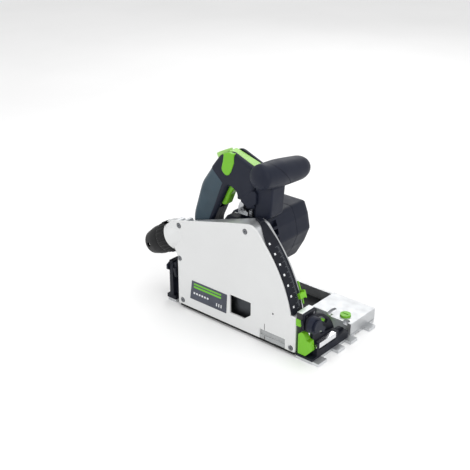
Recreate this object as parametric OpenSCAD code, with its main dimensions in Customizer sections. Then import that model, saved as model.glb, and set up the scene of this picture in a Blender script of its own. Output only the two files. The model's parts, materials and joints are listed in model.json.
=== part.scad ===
// Plunge-cut track saw: a base that rides on a guide rail, a bevelling blade guard and a plunging motor.
// Working frame: X forward along the cut, Y from the blade towards the motor, Z up from the sole.
// saw() moves that frame so that the origin is on the sole, in the guide rail groove, abreast of the
// arbor at full depth.

/* [Blade and cut] */
// Blade diameter
blade_d = 168; // [160:1:168]
// Blade bore
blade_bore = 20; // [20:1:22]
// Width of the cut
kerf = 1.8; // [1.6:0.1:2.2]
// Deepest cut below the sole
cut_depth = 60; // [56:1:60]
// Number of blade teeth
blade_teeth = 42; // [28:1:48]

/* [Plunge] */
// Distance from the plunge pivot to the arbor
arm = 131; // [130:0.5:132]
// Height of the plunge pivot
pivot_z = 16; // [16:0.5:17]
// Plunge angle from rest to full depth
plunge = 31; // [29:0.5:31]

/* [Base] */
// Distance from the rail groove to the cut line
rib_to_cut = 110; // [108:1:112]
// Thickness of the sole
sole_t = 5; // [4.5:0.1:5]
// Rear end of the base
base_back = -170; // [-174:1:-168]
// Front edge of the base without its tongues
base_front = 146; // [144:1:148]
// Left edge of the base
base_left = 163; // [162:1:168]
// Height of the left rim and the front beam
rim_h = 25; // [18:1:26]
// Width of the guide rail groove
groove_w = 12.4; // [12:0.1:16]

/* [Guard] */
// Outer face of the cover, measured from the blade
cover_y = -12; // [-12.5:0.5:-12]
// Thickness of the cover sheet
cover_t = 3; // [2:0.5:3]
// Inner face of the guard wall, towards the motor
guard_y = 22; // [21.5:0.5:22]
// Radius of the guard's front about the plunge pivot
front_r = 238; // [237:1:239]
// Bottom edge of the guard above the sole
guard_z = 6; // [5:1:7]

/* [Motor and handles] */
// Outer end of the motor
motor_end = 154; // [150:1:154]
// Radius of the front handle at its thickest
grip_r = 22.5; // [20:0.5:24]
// Middle plane of the rear handle
handle_y = 43; // [42:1:44]
// Width of the rear handle
handle_w = 34; // [30:2:34]

/* [Hidden] */
$fn = 64;
slack = 0.05;
white = "#e4e4e2";
slate = "#373a44";
black = "#18191c";
green = "#73be2d";
lime = "#a9d67c";
steel = "#b4b6b9";
alloy = "#cfd1d3";
rubber = "#3c5560";

pivot_x = -arm;
level = asin((blade_d / 2 - cut_depth - pivot_z) / arm);
raised = level + plunge;
arbor = [pivot_x + arm * cos(raised), pivot_z + arm * sin(raised)];
gear_module = 0.9;
spindle_teeth = 42;
pinion_teeth = 18;
motor = arbor + [0, gear_module * (spindle_teeth + pinion_teeth) / 2 + 0.1];
motor_front = 18;
motor_back = -68;
motor_top = 186;
case_y = 23;
plate_y = 36;
shell_y = 40;
cap_y = 112;
wall = 3;
guard_front = 112;
guard_back = -139;
bevel_y = -kerf / 2;
slot_r = 65;
knob_at = 93;
dust_tilt = 30;
dust_start = [-148, 8, 129];
grip_start = [18, 3, 269.5];
grip_tilt = 6.5;
half_y = handle_y + handle_w / 2;
low_y = handle_y - handle_w / 2;

// ---- Helpers ----

module saw(c) color(c) translate([0, -rib_to_cut, 0]) children();

// A side outline in X and Z, drawn out along Y
module side(y0, y1) translate([0, y1, 0]) rotate([90, 0, 0]) linear_extrude(y1 - y0) children();

// A front outline in Y and Z, drawn out along X
module across(x0, x1) translate([x0, 0, 0]) rotate([90, 0, 90]) linear_extrude(x1 - x0) children();

// A round bar along Y through the point p in X and Z
module bar_y(p, r, y0, y1) translate([p.x, y0, p.y]) rotate([-90, 0, 0]) cylinder(r = r, h = y1 - y0);

// A round bar along X through the point p in Y and Z
module bar_x(p, r, x0, x1) translate([x0, p.x, p.y]) rotate([0, 90, 0]) cylinder(r = r, h = x1 - x0);

module block(low, high) translate(low) cube(high - low);

function unit(v) = v / norm(v);
function polar(centre, r, a) = centre + r * [cos(a), sin(a)];
function arc(centre, r, a0, a1, n) = [for (i = [0:n]) polar(centre, r, a0 + (a1 - a0) * i / n)];

// The corner b between a and c, rounded to radius r with n short sides
function corner(a, b, c, r, n) = let(u = unit(a - b), v = unit(c - b), half = acos(u * v) / 2,
    m = b + unit(u + v) * r / sin(half), p = b + u * r / tan(half) - m, turn = 180 - 2 * half,
    s = sign(p.x * (v * r / tan(half) + b - m).y - p.y * (v * r / tan(half) + b - m).x))
    [for (i = [0:n]) let(t = s * turn * i / n)
        m + [p.x * cos(t) - p.y * sin(t), p.x * sin(t) + p.y * cos(t)]];

// An outline of [x, y, corner radius] points
function rounded(pts, n = 6) = [for (i = [0:len(pts) - 1]) let(k = len(pts), b = pts[i],
    a = pts[(i + k - 1) % k], c = pts[(i + 1) % k]) each b[2] == 0 ? [[b.x, b.y]] :
    corner([a.x, a.y], [b.x, b.y], [c.x, c.y], b[2], n)];

// A ring sector between two radii
module sector(centre, r0, r1, a0, a1, n = 24)
    polygon(concat(arc(centre, r1, a0, a1, n), arc(centre, r0, a1, a0, n)));

// A curved slot, half wide to each side of the radius r, with round ends
module curved_slot(centre, r, half, a0, a1, n = 20) polygon(concat(
    arc(centre, r + half, a0, a1, n), arc(polar(centre, r, a1), half, a1 + 15, a1 + 165, 8),
    arc(centre, r - half, a1, a0, n), arc(polar(centre, r, a0), half, a0 + 195, a0 + 345, 8)));

pivot = [pivot_x, pivot_z];

// A socket-head screw along -Y with its head's outer face at y
module screw_y(p, y, r_head, r_shank, long) difference() {
    union() {
        bar_y(p, r_head, y, y + 2.4);
        bar_y(p, r_shank, y + 2.4, y + long);
    }
    translate([p.x, y - 0.1, p.y]) rotate([-90, 0, 0]) cylinder(r = r_shank * 0.7, h = 1.6, $fn = 6);
}

// ---- Base ----

base_outline = rounded([
    [base_back, -8, 3], [-149, -8, 1], [-149, guard_y + 2.5, 2], [-34, guard_y + 2.5, 1], [-34, 50, 6],
    [30, 50, 6], [30, guard_y + 2.5, 1], [114.5, guard_y + 2.5, 2], [114.5, -13, 1], [base_front, -13, 2],
    [base_front, base_left, 5], [base_back, base_left, 8]]);
tongues = [[-12, 10], [40, 58], [75, 93], [128, 146]];
beam_x = 62;
bracket_pts = [[122, 60], [122, 36], [139, 60], [-158, 40], [-158, 75]];
function head_z(p) = p.x > 130 ? 12 : 9;

module base_plate() saw(alloy) difference() {
    union() {
        linear_extrude(sole_t) polygon(base_outline);
        for (t = tongues) block([base_front - 8, t[0], 0], [158, t[1], sole_t]);
        // Front beam, left rim and rear rim
        block([beam_x, 100, sole_t - 1], [base_front - 1, base_left - 0.5, rim_h]);
        block([105, 92, sole_t - 1], [base_front - 1, 101, rim_h]);
        block([base_back + 8, base_left - 5, sole_t - 1], [beam_x + 1, base_left - 0.5, rim_h - 2]);
        block([base_back, 96, sole_t - 1], [base_back + 8, base_left - 0.5, rim_h - 2]);
        for (x = [-130, 122]) translate([x, rib_to_cut, 0]) cylinder(r = 13, h = x > 0 ? rim_h : 14);
    }
    // Groove for the guide rail, and the wells of the two dials that take up its play
    block([base_back - 1, rib_to_cut - groove_w / 2, -1], [base_front + 20, rib_to_cut + groove_w / 2, 3]);
    for (x = [-130, 122]) {
        translate([x, rib_to_cut, -1]) cylinder(r = 4 + slack, h = 40);
        translate([x, rib_to_cut, (x > 0 ? rim_h : 14) - 5]) cylinder(r = 9.3, h = 8);
    }
    // Recesses of the slide pads
    for (y = [64, 134]) block([base_back + 20, y, -1], [base_front - 40, y + 14, 1]);
    // Curved sight slot and a round hole on the beam
    translate([122, rib_to_cut, rim_h - 4]) linear_extrude(8) sector([0, 0], 24, 30, 160, 205, 10);
    translate([134, 96, rim_h - 5]) cylinder(r = 5.5, h = 9);
    for (p = bracket_pts) translate([p.x, p.y, -1]) cylinder(r = 2.2, h = sole_t + 2);
}

module tray_liner() saw(black) block([-60, 84, sole_t], [beam_x - 2, base_left - 6, sole_t + 1]);

module slide_pads() saw(slate)
    for (y = [64, 134]) block([base_back + 20, y, 0], [base_front - 40, y + 14, 1]);

module bracket_plate(x0, x1) across(x0, x1) difference() {
    polygon(rounded([[-0.8, 5, 0], [84, 5, 1], [84, 22, 8], [46, 31, 6], [15, 38, 8], [13, 76, 7],
        [-13, 76, 7], [-13, 53, 2], [-0.8, 53, 4]]));
    translate(polar([bevel_y, 0], slot_r, knob_at)) circle(r = 3 + slack);
}

module front_bracket() saw(slate) difference() {
    union() {
        bracket_plate(131.5, 137);
        block([115, -13, sole_t], [base_front, 66, 9]);
        block([130, -0.8, sole_t], [base_front, 84, 18]);
        for (y = [-0.8, 50]) block([136, y, 9], [base_front, y + 5.8, 31]);
        // Guide of the latch
        block([115, -0.8, 8], [132, 1.6, 40]);
    }
    bar_y([142, 25], 3.5, -2, 57);
    for (p = bracket_pts) if (p.x > 0) translate([p.x, p.y, 0]) cylinder(r = 2, h = 20);
    for (p = bracket_pts) if (p.x > 0) translate([p.x, p.y, head_z(p)]) cylinder(r = 4.5, h = 20);
}

module front_bar() saw(steel) difference() {
    union() {
        bar_y([142, 25], 3.5, 0, 55.5);
        block([138.5, 5.6, 21], [146, 49.4, 30]);
    }
    bar_y([142, 25], 1.5, -1, 57);
}

module rear_bracket() saw(slate) difference() {
    union() {
        bracket_plate(-156, -150.5);
        block([base_back, -8, sole_t], [-150.5, 84, 12]);
        block([-163, -8, 5], [-155, 12, 78]);
    }
    for (p = bracket_pts) if (p.x < 0) translate([p.x, p.y, 0]) cylinder(r = 2, h = 20);
    for (p = bracket_pts) if (p.x < 0) translate([p.x, p.y, head_z(p)]) cylinder(r = 4.5, h = 20);
    bar_x(polar([bevel_y, 0], slot_r, knob_at), 3 + slack, -165, -150);
}

module bracket_screws() saw(steel) for (p = bracket_pts) translate([p.x, p.y, head_z(p)]) {
    difference() {
        cylinder(r = 4, h = 3);
        translate([0, 0, 1.6]) cylinder(r = 2, h = 2, $fn = 6);
    }
    translate([0, 0, -8]) cylinder(r = 2, h = 8.01);
}

// The front clamp's wing points down and inwards
module front_knob() saw(slate) {
    p = polar([bevel_y, 0], slot_r, knob_at);
    bar_x(p, 3, 124.6, 141);
    bar_x(p, 13.5, 137.3, 146);
    bar_x(p, 10, 145.9, 150);
    translate([140, p.x, p.y]) rotate([-35, 0, 0]) translate([0, 0, -4]) cube([8, 24, 8]);
}

// The rear clamp is a low hexagon head
module rear_knob() saw(slate) {
    p = polar([bevel_y, 0], slot_r, knob_at);
    bar_x(p, 3, -164, -143);
    translate([-167, p.x, p.y]) rotate([0, 90, 0]) cylinder(r = 8, h = 3.7, $fn = 6);
}

module jaw_dial(x, top) translate([x, rib_to_cut, 0]) difference() {
    union() {
        translate([0, 0, top - 4.8]) cylinder(r = 9, h = 8);
        translate([0, 0, 0.6]) cylinder(r = 4, h = top - 5);
        // Eccentric cam that closes on the rail's rib
        translate([1, 0, 0.4]) cylinder(r = 4.9, h = 2.4);
    }
    translate([-6, -1.2, top + 1.4]) cube([12, 2.4, 3]);
}

module jaw_dial_front() saw(green) jaw_dial(122, rim_h);
module jaw_dial_rear() saw(green) jaw_dial(-130, 14);

module undercut_lever() saw(green) translate([90, 74, 0]) difference() {
    union() {
        translate([0, 0, sole_t + 0.3]) cylinder(r = 7, h = 9);
        translate([-4, 0, sole_t + 3]) cube([8, 20, 6]);
    }
    translate([0, 0, sole_t + 7]) cylinder(r = 2.5, h = 4);
}

module front_latch() saw(green)
    side(-12, -1.2) polygon(rounded([[117.5, 9.6, 1], [132, 9.6, 2], [141.5, 20, 2], [139.5, 36.5, 2],
        [133.5, 37.5, 1], [127, 48.3, 2], [123, 48.3, 2], [117.5, 44, 2]]));

// ---- Guard ----

top_slope = 14.5;
top_z = function(x) 157.5 + (x + 146) * tan(top_slope);

// Outline of the guard, drawn in by d
module guard_outline(d = 0) {
    arc_top = 47;
    polygon(concat([[guard_back + d, guard_z], [guard_front - d, guard_z],
        [guard_front - d, 69 - d], polar(pivot, front_r - d, asin((69 - d - pivot_z) / (front_r - d)))],
        arc(pivot, front_r - d, 16, arc_top - 6, 14),
        corner(polar(pivot, front_r - d, arc_top - 6), polar(pivot, front_r - d, arc_top) + [-6, 10],
            [-30, top_z(-30) - d], 22 - d, 8),
        rounded([[-152 + d / 2, top_z(-152) - d, 6], dust_edge(1, d), dust_edge(-1, d),
            [guard_back + d, 93, 0]], 4)));
}

// The edge of the guard that carries the dust collar, square to the dust port's axis
dust_face = 9;
function dust_edge(side, d) = let(t = dust_face - d, w = side * (22 - d) - (side < 0 ? 4 : 0))
    [dust_start.x - t * cos(dust_tilt) - w * sin(dust_tilt),
        dust_start.z - t * sin(dust_tilt) + w * cos(dust_tilt), 3];

cover_screw_pts = [[-134, 152], [-134, 92], [-129, 14.5], [9, 184], [103.5, 12.5]];

module at_dust() translate(dust_start) rotate([0, -90 - dust_tilt, 0]) children();

module guard_housing() saw(alloy) difference() {
    union() {
        side(cover_y + cover_t, guard_y) difference() {
            guard_outline(0.4);
            guard_outline(4);
            translate([-121, 0]) square([guard_front - 10 + 121, guard_z + 5]);
        }
        side(guard_y - 4, guard_y) guard_outline(0.4);
        bar_y(pivot, 9, 8, guard_y - 3);
        for (p = cover_screw_pts) bar_y(p, 5, cover_y + cover_t, guard_y - 3);
        // Lugs that carry the bevel segments
        block([guard_front - 2, -3.5, 57], [124, 18, 71]);
        block([guard_front - 2, -9, 57], [guard_front, -3, 68]);
        block([guard_front + 2, cover_y, 70], [124, 18, 81]);
        block([-142, cover_y + cover_t, 58], [guard_back + 2, 20, 81]);
    }
    bar_y(pivot, 5, 0, guard_y + 1);
    for (p = cover_screw_pts) bar_y(p, 2, cover_y, guard_y - 6);
    // Curved slot that the spindle's neck plunges through
    side(guard_y - 6, guard_y + 1) curved_slot(pivot, arm, 16.8, level, raised);
    at_dust() intersection() {
        cylinder(r = 22, h = 20);
        translate([-60, guard_y - dust_start.y - 33.5, -1]) cube([120, 30, 30]);
    }
    // Screws of the segments
    for (p = segment_screw_pts) {
        bar_x(p, 2, 115, 125);
        bar_x(p, 2, -143, -134);
    }
}

module guard_cover() saw(white) difference() {
    union() {
        side(cover_y, cover_y + cover_t) guard_outline();
        // Collar round the dust port, swelling out of the sheet
        at_dust() translate([0, 0, dust_face + 0.05]) difference() {
            cylinder(r = 27, h = 5);
            translate([0, 0, -1]) cylinder(r = 22, h = 7);
        }
        intersection() {
            at_dust() translate([0, 0, -12]) cylinder(r = 27, h = 12 + dust_face + 0.1);
            block([-200, -30, 60], [-100, cover_y + cover_t, 190]);
        }
    }
    for (p = cover_screw_pts) {
        bar_y(p, 2.2, cover_y - 1, cover_y + 5);
        bar_y(p, 4.2, cover_y - 1, cover_y + 2.45);
    }
    // Opening for the hex key that changes the blade
    side(cover_y - 1, cover_y + cover_t + 1)
        polygon(rounded([[-22, 29, 1], [8, 29, 0.5], [22, 40, 4], [22, 63, 1], [-22, 63, 1]]));
    // Notch behind the sight window
    block([41, cover_y - 1, 0], [92, cover_y + cover_t + 1, 24]);
    bar_y([67, 60], 1.8, cover_y - 1, cover_y + 6);
}

module cover_screws() saw(steel) for (p = cover_screw_pts) screw_y(p, cover_y, 3.9, 2, 14);

module name_plate() saw(slate)
    side(cover_y - 0.6, cover_y) polygon([[-111, 24.7], [-30, 24.7], [-28, 60], [-106, 60]]);

module depth_scale() saw(slate) {
    side(cover_y + cover_t + 0.2, 16) sector(pivot, front_r + 0.2, front_r + 3.2, 13.2, 42, 30);
    // Ticks on the strip
    for (a = [16:2.4:40]) side(cover_y + cover_t + 1, cover_y + cover_t + 6 + 3 * (round(a) % 2))
        sector(pivot, front_r + 3, front_r + 3.5, a, a + 0.25, 1);
}

segment_screw_pts = [[-6, 75.5], [12, 75.5]];

module segment_plate(x0, x1) across(x0, x1) difference() {
    union() {
        sector([bevel_y, 0], 54, 73, 17, 102, 30);
        translate([-12, 64]) square([30, 16.5]);
    }
    curved_slot([bevel_y, 0], slot_r, 3.3, 45, 95);
    for (p = segment_screw_pts) translate(p) circle(r = 2);
}

module front_segment() saw(slate) segment_plate(124, 129);
module rear_segment() saw(slate) segment_plate(-147, -142);

module segment_screws() saw(steel) for (p = segment_screw_pts) {
    bar_x(p, 2, 117, 129);
    bar_x(p, 2, -147, -136);
}

module index_button() saw(green)
    side(cover_y, -6.4) polygon(rounded([[112.6, 57, 1], [121, 57, 1], [123.4, 61, 2], [122, 69, 2],
        [112.6, 69, 1]]));

module view_window() saw([0.8, 0.85, 0.85, 0.5]) difference() {
    union() {
        block([38, cover_y + cover_t, guard_z + 0.5], [95, cover_y + cover_t + 2, 29]);
        block([42, cover_y + 0.4, guard_z + 1], [91, cover_y + cover_t + 0.5, 7.9 + guard_z]);
    }
    block([48, cover_y + 0.2, 5], [50, cover_y + 0.8, 20]);
}

module dust_ring() saw(black) at_dust() difference() {
    union() {
        translate([0, 0, 14.2]) cylinder(r = 26.5, h = 24);
        for (i = [0:23]) rotate([0, 0, i * 15]) translate([26, -1.4, 18]) cube([1.6, 2.8, 18]);
    }
    translate([0, 0, 0]) cylinder(r = 21.5, h = 50);
}

module dust_outlet() saw(black) at_dust() difference() {
    translate([0, 0, 14.2]) rotate_extrude() polygon([[18, 0], [21.4, 0], [21.4, 24], [24, 24.2], [25, 30],
        [25, 44], [22.5, 58], [20.5, 62], [17.5, 62], [17.5, 30]]);
    // Notches of the quarter-turn hose lock
    for (a = [0, 180]) rotate([0, 0, a]) translate([19, -4, 60]) cube([12, 8, 20]);
}

module pivot_pin() saw(steel) {
    bar_y(pivot, 5, 9, 57);
    bar_y(pivot, 8.5, 57, 60);
}

module plunge_spring() saw(steel) translate([pivot.x, 42, pivot.y]) rotate([-90, 0, 0]) rotate_extrude()
    polygon(concat([[6, 0], [6, 13]], [for (i = [26:-1:0]) [7.6 + 1.2 * (i % 2), i / 2]]));

// A thin arm that swings between the guard and the handle's stop block
module depth_stop() saw(green) {
    side(guard_y + 0.3, guard_y + 2.6) sector(pivot, 227, front_r + 1, 14.5, 23.5, 8);
    side(guard_y + 0.3, guard_y + 2.6) sector(pivot, front_r, front_r + 9, 17, 20, 4);
    side(10, guard_y + 2.6) sector(pivot, front_r + 3.8, front_r + 9, 17.5, 19.5, 4);
}

// ---- Plunging gear case and motor ----

motor_points = [[-58, motor_top, 10], [4, motor_top, 8], [13, 164, 8], [motor_front, 138, 10],
    [8, 112, 6], [-9, 82, 8], [-34, 77.5, 12], [-60, 90, 10], [motor_back, 112, 8], [motor_back, 172, 10]];

motor_screw_pts = [[-56, 172], [0, 172], [-49, 95.5]];
speed_at = [-44, 76, motor_top];

module motor_outline(d = 0) offset(delta = -d) polygon(rounded(motor_points));

// The cap's top rises towards the front
module cap_outline(d = 0) offset(delta = -d) polygon(rounded(concat([[-58, motor_top - 2, 10],
    [0, motor_top + 7, 9], [11, 166, 8]], [for (i = [3:len(motor_points) - 1]) motor_points[i]])));

module gear_case() saw(slate) difference() {
    union() {
        side(case_y, plate_y) {
            intersection() {
                motor_outline(3);
                translate([-90, arbor.y + 12]) square([140, 90]);
            }
            translate(arbor) circle(r = 22);
        }
        side(case_y, 40) difference() {
            translate(pivot) rotate(raised) translate([0, -9]) square([arm - 21.5, 18]);
            translate(arbor) circle(r = 21.9);
        }
        side(case_y, plate_y) translate(pivot) rotate(raised) translate([0, -9]) square([arm, 18]);
        bar_y(pivot, 9.5, case_y, 41);
        bar_y(arbor, 15.5, 8, case_y + 1);
    }
    bar_y(pivot, 5 + slack, case_y - 1, 50);
    // Chamber of the two gears, open towards the bearing plate
    bar_y(arbor, 20.4, 26, plate_y + 1);
    bar_y(motor, 10, 26, plate_y + 1);
    bar_y(arbor, 13, 9, 17);
    bar_y(arbor, 7, 7, 27);
    block([pivot_x - 12, 18, 0], [pivot_x + 12, case_y, pivot_z + 20]);
}

module bearing_plate() saw(alloy) difference() {
    union() {
        side(plate_y, shell_y) {
            intersection() {
                motor_outline(3);
                translate([-56, arbor.y + 6]) square([140, 90]);
            }
            translate(arbor) circle(r = 21.5);
        }
        bar_y(arbor, 13.5, plate_y, 44);
        bar_y(motor, 13.5, plate_y, 46);
    }
    bar_y(arbor, 11, plate_y - 1, 43);
    bar_y(motor, 5, plate_y - 1, 50);
    bar_y(motor, 11, shell_y - 1, 50);
}

module bearing(p, bore, outer, y0, y1) difference() {
    bar_y(p, outer, y0, y1);
    bar_y(p, bore, y0 - 1, y1 + 1);
}

// Each pair's inner race turns with its shaft: the bore leaves a running clearance
module spindle_bearings() saw(steel) {
    bearing(arbor, 5 + slack, 13, 9, 17);
    bearing(arbor, 4 + slack, 11, plate_y, 43);
}

module motor_bearings() saw(steel) {
    bearing(motor, 4 + slack, 11, shell_y - 1, 46);
    bearing(motor, 4 + slack, 11, 141, 148);
}

vent_rows = 5;

// Bosses of the long screws that hold the cap and the housing to each other
module motor_bosses(y0, y1) for (p = motor_screw_pts) difference() {
    bar_y(p, 4.5, y0, y1);
    bar_y(p, 2, y0 - 1, y1 + 1);
}

module motor_housing() saw(slate) difference() {
    union() {
        difference() {
            side(shell_y, cap_y - 0.05) motor_outline();
            side(shell_y + wall, cap_y + 1) motor_outline(wall);
        }
        motor_bosses(shell_y + 1, cap_y - 8);
    }
    side(shell_y - 1, shell_y + wall + 1) {
        translate(arbor) circle(r = 13.5);
        translate(motor) circle(r = 13.5);
    }
    // Cooling vents on the front
    for (i = [0:vent_rows - 1])
        block([motor_front - 12, 46, 112 + 14 * i], [motor_front + 9, 66, 122 + 14 * i]);
    translate(speed_at - [0, 0, wall + 1]) cylinder(r = 3 + slack, h = wall + 2);
}

module motor_end_cap() saw(slate) difference() {
    union() {
        side(cap_y, motor_end - 8) cap_outline(0.5);
        for (i = [0:3]) side(motor_end - 8.1 + 2 * i, motor_end - 6 + 2 * i) cap_outline(1 + i + i * i / 3);
        side(cap_y - 6, cap_y) difference() {
            motor_outline(wall + 0.1);
            motor_outline(2 * wall);
        }
    }
    difference() {
        side(cap_y - 7, motor_end - 13) motor_outline(2 * wall);
        motor_bosses(cap_y, motor_end - 12);
    }
    bar_y(motor, 11, 141, 148);
    for (p = motor_screw_pts) bar_y(p, 2, motor_end - 14, motor_end + 1);
    for (p = motor_screw_pts) bar_y(p, 4, motor_end - 6, motor_end + 1);
    // Air inlets in the end face
    for (i = [0:4]) block([-52, motor_end - 20, 150 + 5 * i - 4], [-12, motor_end + 1, 150 + 5 * i - 2]);
}

module motor_screws() saw(steel) for (p = motor_screw_pts)
    translate([0, 2 * motor_end - 3.6, 0]) mirror([0, 1, 0]) screw_y(p, motor_end, 3.8, 2, 84);

module stator() saw("#8a5a34") difference() {
    bar_y(motor, 22.5, 60, 106);
    bar_y(motor, 15.3, 59, 107);
    // Slots between the poles
    for (i = [0:11]) translate([motor.x, 59, motor.y]) rotate([0, i * 30, 0])
        translate([13, 0, -1.5]) cube([6, 48, 3]);
}

module electronics_module() saw(black) block([-48, 50, 150], [-8, 88, 178]);

// ---- Rear handle ----

handle_points = [[-139, 120, 8], [-138, 162, 60], [-119, 222, 60], [-98, 252, 20], [-78, 278, 14],
    [-52, 289, 14], [-6, 271.5, 2], [-6, motor_top, 1], [-42, motor_top, 1], [-42, 224, 10], [-60, 231, 6],
    [-80, 190, 20], [-94, 160, 24], [-96, 140, 10], [-80, 132, 6], [motor_back, 132, 0],
    [motor_back, 100, 0], [-104, 98, 12]];

module handle_outline(d = 0) offset(delta = -d) polygon(rounded(handle_points));

module grip_zone() polygon([[-150, 134], [-103, 134], [-101, 160], [-88, 190], [-71, 233], [-97, 256],
    [-150, 262]]);

trigger_points = [[-87, 214, 4], [-86, 198, 6], [-79, 189, 5], [-70, 192, 6], [-62, 212, 10], [-52, 226, 4],
    [-54, 240, 4], [-74, 240, 4]];
trigger_pivot = [-59, 235];

// Half of the handle between two planes
module handle_half(y0, y1, inner0, inner1) difference() {
    union() {
        side(y0, y1) difference() {
            handle_outline();
            grip_zone();
        }
        side(inner0, inner1) intersection() {
            handle_outline(3);
            grip_zone();
        }
    }
    // Hollow for the switch, the trigger's slot, the wiring and the inlet
    block([-56, handle_y - 11, 240], [-18, handle_y + 11, 259]);
    block([-97, handle_y - 9, 184], [-48, handle_y + 9, 244]);
    bar_y(trigger_pivot, 3 + slack, handle_y - 12, handle_y + 12);
    at_inlet() translate([0, 0, -14]) cylinder(r = 11, h = 40);
    at_inlet() translate([0, 0, 7.9]) cylinder(r = 13.6, h = 30);
    for (p = handle_screw_pts) bar_y(p, 2, low_y - 1, half_y - 4);
    for (p = handle_screw_pts) bar_y(p, 4, low_y - 1, low_y + 3);
}

handle_screw_pts = [[-30, 198], [-14, 262], [-120, 112], [-76, 110]];

module at_inlet() translate([-74, handle_y, 267]) rotate([0, -25, 0]) children();

module handle_left() saw(slate) difference() {
    handle_half(handle_y, half_y, handle_y, half_y - 3);
    // Seat of the blade change lever
    block([-66, handle_y - 9, 265.5], [-7, handle_y + 9, 400]);
}

module handle_right() saw(slate) difference() {
    union() {
        handle_half(low_y, handle_y, low_y + 3, handle_y);
        // Stop block that comes down beside the depth stop
        side(low_y - 1.2, low_y + 1) polygon(rounded([[-34, 213, 3], [-14, 203.5, 3], [-0.3, 215, 3],
            [-0.3, 237, 4], [-13, 233, 3]]));
    }
    block([-66, handle_y - 9, 265.5], [-7, handle_y + 9, 400]);
    side(low_y - 1, low_y + 5) lock_outline(0.3);
    side(low_y - 1, handle_y - 8.7) lock_top(0.3);
}

module handle_screws() saw(steel) for (p = handle_screw_pts) screw_y(p, low_y + 0.5, 3.8, 2, 26);

module handle_grip() saw(rubber) difference() {
    side(low_y, half_y) intersection() {
        handle_outline();
        grip_zone();
    }
    side(low_y + 3, half_y - 3) handle_outline(3);
    block([-97, handle_y - 9, 184], [-48, handle_y + 9, 244]);
}

module switch_module() saw(black) block([-50, handle_y - 10, 241], [-20, handle_y + 10, 258]);

module power_inlet() saw(black) at_inlet() difference() {
    translate([0, 0, -14]) cylinder(r = 11, h = 27);
    translate([0, 0, -6]) cylinder(r = 9, h = 30);
    translate([0, 0, -7]) cylinder(r = 4.5, h = 3);
}

module inlet_collar() saw(lime) at_inlet() difference() {
    translate([0, 0, 8]) cylinder(r = 13.5, h = 8);
    translate([0, 0, -1]) cylinder(r = 11, h = 30);
    translate([0, 0, 13]) cylinder(r = 11.8, h = 30);
}

module trigger() saw(green) difference() {
    union() {
        side(handle_y - 8.5, handle_y + 8.5) polygon(rounded(trigger_points, 4));
        bar_y(trigger_pivot, 3, handle_y - 11.5, handle_y + 11.5);
    }
    bar_y([-66, 222], 3, handle_y - 9, handle_y + 9);
}

module lock_outline(grow = 0) offset(delta = grow) polygon(rounded([[-73, 256, 8], [-61, 244, 8],
    [-52, 256, 4], [-46, 272, 3], [-46, 287.2, 1.5], [-57, 287.6, 3], [-67, 283.4, 1.5], [-69, 270, 6]], 5));

// The part of the lock that wraps over the handle's top
module lock_top(grow = 0) intersection() {
    lock_outline(grow);
    translate([-80, 281.5 - grow]) square([50, 20]);
}

module start_lock() saw(green) {
    side(low_y - 1.3, low_y + 2) lock_outline();
    side(low_y - 1.3, low_y + 5.5) lock_top();
}

module change_lever() saw(lime) difference() {
    union() {
        side(handle_y - 8.5, handle_y + 8.5) polygon(rounded([[-64, 280.4, 2], [-64, 287.4, 2],
            [-58, 287.4, 3], [-8.5, 273, 2], [-8.5, 268.6, 2]]));
        bar_y([-12, 268.8], 2.6, handle_y - 8.5, handle_y + 8.5);
    }
    bar_y([-12, 268.8], 1.2, handle_y - 9, handle_y + 9);
}

// ---- Front handle ----

// The grip's outline: distance from its axis against its length along it
grip_length = 138;
grip_profile = concat([[0, 0]], arc([grip_r - 13, 11], 11, -90, 0, 8), [[grip_r, 48], [grip_r - 0.5, 80],
    [grip_r - 3, 108]], arc([1, grip_length - 17.5], 17.5, 8, 90, 8), [[0, grip_length]]);
grip_split = 64;

module front_grip() translate(grip_start) rotate([-90 - grip_tilt, 0, 0]) rotate_extrude()
    polygon(grip_profile);

module front_handle_neck() saw(slate) {
    intersection() {
        front_grip();
        block([-50, 0, 200], [80, grip_split, 300]);
    }
    side(case_y + 6.3, 62) polygon(rounded([[-5.8, motor_top, 0], [12, motor_top, 0], [26, 198, 4],
        [30, 252, 6], [-2, 252, 2], [-5.8, 240, 2]]));
}

module front_handle_end() saw(slate) intersection() {
    front_grip();
    block([-50, grip_split, 200], [80, 200, 300]);
}

module speed_dial() saw(green) translate(speed_at) difference() {
    union() {
        translate([0, 0, 0.2]) cylinder(r = 9, h = 5);
        translate([0, 0, -3]) cylinder(r = 3, h = 4);
    }
    translate([4, -0.8, 4]) cube([6, 1.6, 3]);
}

module riving_knife() saw(steel) difference() {
    union() {
        bar_y(arbor, 21, 9, 12);
        side(9, 11) translate(arbor) rotate(188) translate([15, -7]) square([88, 14]);
        side(-0.8, 11) sector(arbor, 92, 102, 185, 193, 4);
        side(-0.8, 0.8) sector(arbor, 87, 103, 183, 219, 16);
    }
    bar_y(arbor, 15.5 + slack, 8, 13);
}

// ---- Spindle and rotor ----

// Outline of a gear with n teeth, the first tooth turned to the angle a
module gear_outline(n, a) {
    r = gear_module * n / 2;
    polygon([for (i = [0:n - 1], k = [[-0.27, -1.2], [-0.11, 0.85], [0.11, 0.85], [0.27, -1.2]])
        polar([0, 0], r + gear_module * k[1], a + (i + k[0]) * 360 / n)]);
}

module saw_blade() saw(steel) difference() {
    union() {
        side(-0.6, 0.6) translate(arbor) circle(r = blade_d / 2 - 5, $fn = 96);
        // Teeth, each with a wider tip
        for (i = [0:blade_teeth - 1]) translate([arbor.x, 0, arbor.y]) rotate([0, i * 360 / blade_teeth, 0])
            side(-kerf / 2, kerf / 2) polygon([[blade_d / 2 - 6, -3.5], [blade_d / 2 - 6, 1.5],
                [blade_d / 2 - 0.1, 2], [blade_d / 2 - 3, -1.5]]);
    }
    bar_y(arbor, blade_bore / 2, -2, 2);
}

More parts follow.
